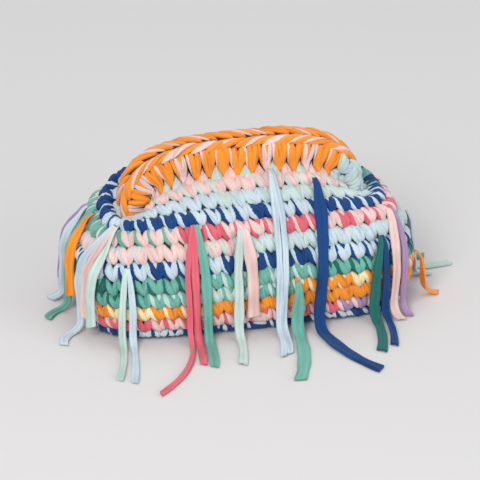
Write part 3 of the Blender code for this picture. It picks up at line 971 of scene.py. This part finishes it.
@dataclass
class FrameCover:
    """One sleeve: tongues of yarn wrapped over the arch, and the slanted chain along its top.

    The wraps and the peaks under them are letters of yarns. In the chain o is a plain orange stitch, t and T
    an orange one with a thin or a thick pink strand, P a pink one, and M and I a mint and an ice one.
    """

    cloth: CoverCloth
    mould: StrandMould
    name: str
    wraps: str = "POPOOPOOOOOPOOPOOMIM"
    chain: str = "otoTtPTPotoTPoTToTMI"
    peaks: str = "PMPMIPPMPMPMPMPPMPMM"
    wrap_middle: float = -0.0285
    wrap_height: float = 0.0275
    braid_middle: float = -0.0088
    braid_height: float = 0.0150
    base: float = -0.0022
    lean: float = 1.0
    slim: float = 0.72  # how plump the strands of a pink wrap are
    end_loft: float = 0.0008
    end_plump: float = 1.25
    core_around: int = 24
    core_along: int = 60
    core_depth: float = 0.0034
    # share of the orange fold colour that the core keeps, as painted shade
    core_tone: float = 0.35

    def build(self, materials: JerseyMaterials, rng: np.random.Generator) -> None:
        """Makes the sleeve's strands and the core of yarn under them."""
        count = len(self.wraps)
        across = (np.arange(count) + 0.5) / count
        sizes = {"width": self.cloth.length / count, "unit_across": 1 / count, "base": self.base}
        wraps = StitchRow.evenly(across, self.wrap_middle, self.wrap_height, rng, unit_up=self.wrap_height, **sizes)
        braid = StitchRow.evenly(across, self.braid_middle, self.braid_height, rng, unit_up=self.braid_height,
                                 lean=self.lean, **sizes)
        slim = replace(wraps, plump=wraps.plump * self.slim)
        wrap, chain, peaks = (np.array(list(letters)) for letters in (self.wraps, self.chain, self.peaks))
        orange, pink = wrap == "O", wrap == "P"
        strands = [
            ("O", wraps, WRAP_LEFT, orange), ("O", wraps, WRAP_RIGHT, orange), ("P", wraps, WRAP_SLIVER, orange),
            ("P", slim, WRAP_LEFT, pink), ("P", slim, WRAP_RIGHT, pink), ("O", wraps, WRAP_SLIVER, pink),
            ("O", wraps, WRAP_MIDDLE, pink), ("O", braid, BRAID_FAT, np.isin(chain, list("otT"))),
            ("P", braid, BRAID_FAT, chain == "P"), ("P", braid, BRAID_THIN, chain == "t"),
            ("P", braid, BRAID_PALE, chain == "T"), ("O", braid, BRAID_THIN, chain == "P"),
        ]
        strands += [(letter, wraps, PEAK, peaks == letter) for letter in LETTERS]
        # Two short stitches one over the other take a wrap's place where the flap runs up over the arch's end
        half = replace(wraps, height=wraps.height / 2, unit_up=wraps.unit_up / 2, base=self.base + self.end_loft,
                       plump=wraps.plump * self.end_plump)
        for letter, other in ("MI", "IM"):
            strands.append((letter, braid, BRAID_FAT, chain == letter))
            for side, fat, thin in ((-1, letter, other), (1, other, letter)):
                row = replace(half, up=wraps.up + side * self.wrap_height / 4)
                strands += [(yarn, row, shape, wrap == letter) for yarn, shape in (
                    (fat, LEFT_LEG), (fat, RIGHT_LEG), (thin, SLIVER))]
        bank = StrandBank(self.name, self.mould)
        for letter, row, shape, kept in strands:
            bank.add(YARNS[letter], self.cloth, shape, row, kept)
        bank.pieces(self.name, materials, rng)
        self._core(materials)

    def _core(self, materials: JerseyMaterials) -> None:
        """The yarn that shows between the wraps, darkened as painted shade."""
        shape, spot = tube(self.core_around, self.core_along, capped=True)
        turn = np.mod(np.arctan2(spot[:, 1], spot[:, 0]), math.tau)
        closed = replace(self.cloth, lipped=False)
        out = np.full(len(spot), -self.core_depth)
        bent(shape, closed.place(spot[:, 2] + 0.5, -turn / math.tau * self.cloth.girth, out))
        mesh = as_mesh(shape, f"{self.name}_core")
        # Painted shade: the orange yarn's fold colour, darkened further
        tint(mesh, np.tile([c * self.core_tone for c in FINISHES[Yarn.ORANGE].fold], (len(mesh.vertices), 1)))
        seat(finished(mesh, materials.backs()), Yarn.ORANGE, self.name)


# --- the fringe


@dataclass(frozen=True)
class Strip:
    """One hanging strip of jersey: its place across its knot, and its length, width, drift and curl."""

    yarn: Yarn
    across: float
    length: float
    width: float
    lean: float
    turn: float

    @classmethod
    def read(cls, letter: str, *told: str) -> "Strip":
        """A strip from its yarn's letter, its sizes in millimetres and its curl in degrees."""
        *sizes, turn = map(float, told)
        return cls(YARNS[letter], *(size / 1000 for size in sizes), math.radians(turn))


@dataclass(frozen=True)
class Knot:
    """The strips pulled through one stitch. The name starts with the side of the bag that they hang on."""

    name: str
    along: float
    height: float
    told: str  # its strips, one after the other

    @property
    def strips(self) -> list[Strip]:
        """The knot's strips."""
        return [Strip.read(*words) for words in parted(self.told)]

    @property
    def out(self) -> Vector:
        """The way out of the bag on the knot's side."""
        return SIDES[self.name.split("_")[0]]


SIDES = {
    "front": Vector((0, -1, 0)),
    "back": Vector((0, 1, 0)),
    "left": Vector((-1, 0, 0)),
    "right": Vector((1, 0, 0)),
}
KNOTS = (
    Knot("front_corner_left", -0.1105, 0.06, "M -4.8 122 6.8 0 -16, I 4.8 126 6.8 -1 -10"),
    Knot("front_left", -0.0515, 0.0905, "C -10.8 192 5.4 2 -48, C -4.4 134 6.8 2 -10, A 4.5 140 8.8 2 -10"),
    Knot("front_middle", -0.013, 0.083, "M -5.8 138 8.6 -1 -18, P 5.8 76 10.8 0 0"),
    Knot("front_flap_middle", 0.0205, 0.119, "I -3.2 180 5.8 -4 -18, I 3.2 176 5.8 -6 -14"),
    Knot("front_low", 0.031, 0.04, "A 0 122 11.8 -2 -24"),
    Knot("front_flap_right", 0.056, 0.11, "N 0 214 11.2 -9 34"),
    Knot("front_corner_right", 0.104, 0.068, "G -5.2 124 9.2 -4 -26, N 5 118 6.8 -4 -22"),
    Knot("front_end_right", 0.1185, 0.08, "P -5.6 92 10 -6 0, L 5.6 94 7.2 -7 -12"),
    Knot("right_front", -0.034, 0.036, "O 0 34 8 -1 0"),
    Knot("right_middle", 0.006, 0.056, "I -5.2 66 8.5 -1 0, M 5.2 88 7.5 1 8"),
    Knot("right_back", 0.035, 0.06, "A -5.2 84 8 -1 -8, N 5.2 70 7.5 1 0"),
    Knot("left_front", -0.03, 0.0855, "I -9.2 126 8 5 70, P -0.3 81 8 6 0, M 9.2 86 9 8 0"),
    Knot("left_middle", 0.003, 0.082, "A -5.4 112 7.8 3 60, O 5.2 72 9.8 5 0"),
    Knot("left_back", 0.023, 0.082, "L -6.2 78 8 -12 0, I 4.2 94 9 -8 30"),
    Knot("left_back_low", 0.056, 0.054, "G 0 70 7.8 0 30"),
    Knot("back_corner_left", -0.103, 0.062, "P -5.2 92 7.5 -1 -6, A 5.2 104 8 1 12"),
    Knot("back_left", -0.062, 0.094, "M -5.2 130 7.8 -4 -10, N 5.2 148 8 2 24"),
    Knot("back_flap_left", -0.024, 0.112, "I -5 160 8 -4 -12, C 4.8 156 7.5 1 6"),
    Knot("back_middle", 0.012, 0.07, "O -5.2 100 7.8 -1 -8, G 5.2 112 8.5 3 14"),
    Knot("back_flap_right", 0.048, 0.108, "A -5 166 8 -1 -26, L 5 150 7.8 3 6"),
    Knot("back_corner_right", 0.098, 0.066, "C -5.2 98 7.8 -1 -8, I 5.2 108 8 2 10"),
)


@dataclass
class Fringe:
    """The knotted strips of jersey that hang round the bag."""

    knot_size: tuple[float, float, float] = (0.0065, 0.0055, 0.0042)
    thickness: float = 0.0032
    off_wall: float = 0.0024
    wall_turn: float = 0.3
    bend: float = 0.011
    shortest_tail: float = 0.004
    fine_step: float = 0.003
    longest_chord: int = 10
    chord_sag: float = 0.0010
    pinch: float = 0.35
    outside: float = 0.3
    probe: float = 0.02
    # A strip's first two points: above the knot's middle, out of the wall, and the share of its place across
    top: tuple[float, float, float] = (0.0068, -0.0030, 0.2)
    over: tuple[float, float, float] = (0.0030, 0.0022, 0.3)
    tail_step: float = 0.005
    tail_turn_step: float = 0.020
    corner: float = 0.0045  # how far to either side a route's corners are rounded
    segments: int = 16
    rings: int = 56
    neck: float = 0.40  # share of the width at the knot
    neck_length: float = 0.045
    half_thick: float = 0.0009  # half thickness in the middle
    rolled: float = 0.0012  # what the rolled edges add to it
    fold_depth: float = 0.0009
    curl_depth: float = 0.0007
    twist: float = 0.22
    cut_slant: float = 0.0016
    pattern: tuple[float, float] = (0.30, 0.070)  # share of the pattern round a strip, and metres along for one
    # How far the strips of a knot turn sideways, and how far they stand off so that no stitch cuts them
    facing: dict[str, float] = field(default_factory=lambda: {
        "left_front": -0.95, "left_middle": -1.10, "left_back": -1.10, "left_back_low": -0.6, "right_front": -0.9,
        "right_middle": -0.8, "front_end_right": -0.20,
    })
    proud: dict[str, float] = field(default_factory=lambda: {"back_flap_left": 0.0034, "back_left": 0.0010})

    # How quickly the waves along a strip turn, in radians for each metre
    DRIFT, RIPPLE, FOLD, CURL, TWIST = 95, 240, 34, 60, 48

    def __post_init__(self) -> None:
        """Reads the pouch's own faces, and the sizes that follow from the others."""
        pouch = frame["nodes"]["pouch"].data
        self._wall = BVHTree.FromPolygons([v.co for v in pouch.vertices], [p.vertices for p in pouch.polygons])
        self.standoff = self.thickness / 2 + self.off_wall
        self.lie_z = GAP + self.thickness / 2

    def _hit(self, knot: Knot) -> tuple[Vector, Vector]:
        """The point and the normal where a level ray meets the wall at a knot."""
        way = Vector((abs(knot.out.y), abs(knot.out.x), 0))
        start = knot.out * self.outside + way * knot.along + UP * knot.height
        point, normal, _, _ = self._wall.ray_cast(start, -knot.out)
        return point, normal

    def _seat(self, point: Vector, normal: Vector, beside: Vector, rise: Vector) -> float:
        """How far a knot's middle stands off the wall."""
        offset = 0.0
        for u in np.linspace(-0.9, 0.9, 7):
            for v in np.linspace(-0.9, 0.9, 7):
                if math.hypot(u, v) < 1:
                    start = point + beside * u * self.knot_size[0] + rise * v * self.knot_size[1]
                    hit, _, _, distance = self._wall.ray_cast(start + normal * self.probe, -normal, 2 * self.probe)
                    back = self.knot_size[2] * math.sqrt(1 - u * u - v * v)
                    offset = max(offset, self.probe - distance + back if hit else 0.0)
        return offset + GAP

    def _reach(self, start: Vector, out: Vector, beside: Vector, width: float, height: float) -> float:
        """How far the wall reaches past the start, over a strip's width at a height."""
        found = 0.0
        for share in (-0.5, 0.0, 0.5):
            base = start + beside * width * share
            level = Vector((base.x, base.y, height))
            point = self._wall.ray_cast(level + out * self.outside, -out, 2 * self.outside)[0]
            if point:
                found = max(found, (point - base).dot(out))
        return found

    def _drape(self, start: Vector, out: Vector, beside: Vector, strip: Strip) -> list[Vector]:
        """Points down a strip from its knot to where it would turn onto the floor."""
        heights = np.arange(start.z, self.lie_z + self.bend - self.fine_step, -self.fine_step)
        heights[-1] = self.lie_z + self.bend
        level = start + beside * strip.across
        reach = [self._reach(level, out, beside, strip.width, z) + self.standoff for z in heights]
        reach = np.maximum.accumulate([0.0, *reach[1:]])
        kept = [0]
        while kept[-1] < len(heights) - 1:
            first = kept[-1]
            for last in range(min(first + self.longest_chord, len(heights) - 1), first, -1):
                chord = np.interp(-heights[first:last + 1], -heights[[first, last]], reach[[first, last]])
                if (chord > reach[first:last + 1] - self.chord_sag).all():
                    break
            kept.append(last)
        share = np.linspace(0, 1, len(heights))
        sideways = strip.across * (self.pinch + (1 - self.pinch) * np.minimum(1, 4 * share)) + strip.lean * share
        return [Vector((start.x, start.y, heights[i])) + out * reach[i] + beside * sideways[i] for i in kept]

    def _route(self, knot: Knot, strip: Strip) -> list[Array]:
        """A strip's middle line, with the way across it and the way out of it at each point."""
        point, normal = self._hit(knot)
        beside = normal.cross(UP).normalized()
        rise = beside.cross(normal)
        middle = point + normal * self._seat(point, normal, beside, rise)
        level = Vector((normal.x, normal.y, 0)).normalized()
        out = knot.out.lerp(level, self.wall_turn).normalized()
        beside = UP.cross(out)
        # The strip comes up out of the wall behind the knot and turns over its front
        line = [(middle + rise * up + normal * off + beside * strip.across * share, beside, out)
                for up, off, share in (self.top, self.over)]
        points = self._drape(middle, out, beside, strip)
        left = strip.length
        for near, far in zip(points, points[1:]):
            piece = (far - near).length
            line.append((near.lerp(far, min(1, left / piece)), beside, out))
            left -= piece
            if left < self.shortest_tail:
                break
        else:
            line += self._tail(line[-1][0], out, beside, left, strip.turn)
        return [np.array([list(row[column]) for row in line]) for column in range(3)]

    def _tail(self, end: Vector, out: Vector, beside: Vector, left: float,
              turn: float) -> list[tuple[Vector, Vector, Vector]]:
        """The rest of a strip, which turns onto the floor and lies on it."""
        line = []
        for a in (math.pi / 8, math.pi / 4, math.pi * 3 / 8, math.pi / 2):
            point = end + out * self.bend * (1 - math.cos(a)) - UP * self.bend * math.sin(a)
            line.append((point, beside, out * math.cos(a) + UP * math.sin(a)))
        tail = max(left - self.bend * math.pi / 2, self.shortest_tail)
        pieces, coarse = math.ceil(tail / self.tail_step), math.ceil(tail / self.tail_turn_step)
        for piece in range(pieces):
            a = turn * min(1.0, ((piece + 1) / pieces * coarse + 1) / (coarse + 1))
            heading = out * math.cos(a) + beside * math.sin(a)
            point = point + heading * tail / pieces
            line.append((point, UP.cross(heading), UP))
        return line

    def _strip(self, knot: Knot, number: int, rng: np.random.Generator) -> bpy.types.Mesh:
        """One strip with rolled edges, along its route."""
        strip = knot.strips[number]
        line, beside, out = self._route(knot, strip)
        steps = np.concatenate([[0], np.cumsum(np.linalg.norm(np.diff(line, axis=0), axis=-1))])
        shape, spot = tube(self.segments, self.rings, capped=True)
        share = 0.5 - spot[:, 2]
        turn = np.arctan2(spot[:, 1], spot[:, 0])
        right, front = np.cos(turn), np.sin(turn)
        at = share * steps[-1]

        def smooth(columns: Array) -> Array:
            """A line's columns at each point of the strip, rounded over its corners."""
            spread = np.linspace(-self.corner, self.corner, 7)
            return sum(
                np.stack([np.interp(np.clip(at + s, 0, steps[-1]), steps, column) for column in columns.T], -1)
                for s in spread
            ) / len(spread)

        middle, side, way = smooth(line), unit(smooth(beside)), unit(smooth(out))
        phase = rng.random(4) * math.tau
        drift = 1 + 0.07 * np.sin(at * self.DRIFT + phase[0]) + 0.04 * np.sin(at * self.RIPPLE + phase[1])
        width = strip.width / 2 * drift * np.clip(self.neck + at / self.neck_length, self.neck, 1.0)
        across = right * (1 - 0.08 * np.abs(right)) * width
        # The edges roll, the front folds in along the middle, and the whole strip curls
        fold = self.fold_depth * (0.45 + 0.35 * np.sin(at * self.FOLD + phase[1])) * np.clip(front, 0, 1) ** 6
        curl = self.curl_depth * np.sin(at * self.CURL + phase[2]) * (1 - 2 * right ** 2)
        thick = (self.half_thick + self.rolled * right ** 2) * power(front, 0.8) - fold + curl
        clear = np.clip((middle[:, 2] - self.lie_z) / self.bend, 0, 1)
        twist = self.twist * np.sin(at * self.TWIST + phase[3]) * np.clip(at / 0.02, 0, 1)
        twist = (twist + self.facing.get(knot.name, 0) * np.clip((at - 0.016) / 0.030, 0, 1)) * clear
        cut = self.cut_slant * right * (share > 0.999) * np.sign(phase[0] - math.pi)
        offset_side = across * np.cos(twist) - thick * np.sin(twist)
        offset_out = across * np.sin(twist) + thick * np.cos(twist) + width * np.abs(np.sin(twist)) * 0.6
        offset_out = offset_out + self.proud.get(knot.name, 0) * np.clip(at / 0.012, 0, 1) * clear
        forward = unit(np.cross(way, side))
        points = middle + side * offset_side[:, None] + way * offset_out[:, None] + forward * cut[:, None]
        points[:, 2] = np.maximum(points[:, 2], FLOOR_CLEARANCE)
        girth, length = self.pattern
        unwrap(shape, turn, at / length, girth)
        bent(shape, points)
        mesh = as_mesh(shape, f"strip_{knot.name}_{number}")
        tag(mesh, np.tile(rng.random(3), len(mesh.vertices)))
        return mesh

    def build(self, materials: JerseyMaterials, rng: np.random.Generator) -> None:
        """Makes every strip."""
        for knot in KNOTS:
            for number, strip in enumerate(knot.strips):
                piece = finished(self._strip(knot, number, rng), materials.yarn(strip.yarn))
                seat(piece, strip.yarn, f"fringe_{knot.name}")


# --- the studio


@dataclass
class Studio:
    """A pale floor, soft lights and a long lens at the photograph's angle."""

    azimuth: float = -13.7
    elevation: float = 26.0
    distance: float = 4.0
    view_width: float = 0.405
    target: Vector = field(default_factory=lambda: Vector((0.0, 0.0, 0.052)))
    floor_colour: tuple[float, float, float, float] = (0.69, 0.673, 0.660, 1)
    floor_roughness: float = 0.9
    floor_half: float = 12
    sky: tuple[float, float, float, float] = (0.93, 0.95, 1.0, 1)
    sky_strength: float = 0.56

    def build(self) -> None:
        """Makes the floor, the lights and the camera."""
        self._floor()
        self._light("key", Vector((-1.4, -2.2, 2.0)), 1.3, 56)
        self._light("fill", Vector((1.8, -2.0, 1.0)), 1.8, 20)
        self._light("top", Vector((0.2, 0.8, 2.6)), 1.8, 16)
        world = bpy.data.worlds.new("studio")
        world.use_nodes = True
        fed(world.node_tree.nodes["Background"], {"Color": self.sky, "Strength": self.sky_strength})
        bpy.context.scene.world = world
        bpy.context.scene.view_settings.view_transform = "Standard"
        self._camera()

    def _floor(self) -> None:
        """A wide plain floor."""
        shape = bmesh.new()
        bmesh.ops.create_grid(shape, x_segments=1, y_segments=1, size=self.floor_half)
        mesh = as_mesh(shape, "floor")
        material = bpy.data.materials.new("floor_paper")
        material.use_nodes = True
        shader = material.node_tree.nodes["Principled BSDF"]
        fed(shader, {"Base Color": self.floor_colour, "Roughness": self.floor_roughness})
        mesh.materials.append(material)
        floor = placed("floor", mesh)

    def _light(self, name: str, spot: Vector, size: float, watts: float) -> None:
        """One soft light that looks at the bag."""
        data = bpy.data.lights.new(name, "AREA")
        data.shape = "SQUARE"
        data.size = size
        data.energy = watts
        aimed(placed(name, data), spot, -spot)

    def _camera(self) -> None:
        """The camera, framed for a square picture."""
        a, e = math.radians(self.azimuth), math.radians(self.elevation)
        back = Vector((math.sin(a) * math.cos(e), -math.cos(a) * math.cos(e), math.sin(e)))
        data = bpy.data.cameras.new("camera")
        data.sensor_width = 36.0
        data.lens = data.sensor_width * self.distance / self.view_width
        data.clip_start, data.clip_end = 0.1, 50
        camera = placed("camera", data)
        aimed(camera, self.target + back * self.distance, -back)
        bpy.context.scene.camera = camera


def main() -> None:
    """Builds the bag piece by piece."""
    logging.basicConfig(level=logging.INFO, format="%(message)s")
    rng = np.random.default_rng(7)
    materials = JerseyMaterials()
    Studio().build()
    cloth = PouchCloth()
    mould = StrandMould(around=8, along=8)
    CrochetPouch(cloth, mould).build(materials, rng)
    FrameCover(CoverCloth(cloth), mould, "frame_cover_front").build(materials, rng)
    FrameCover(
        CoverCloth(cloth, turned=True), mould, "frame_cover_back", lean=-1.0,
        wraps="POPOOPOOOOOPOOPOOPOP", chain="toototoottootottooto",
    ).build(materials, rng)
    Fringe().build(materials, rng)


if __name__ == "__main__":
    main()
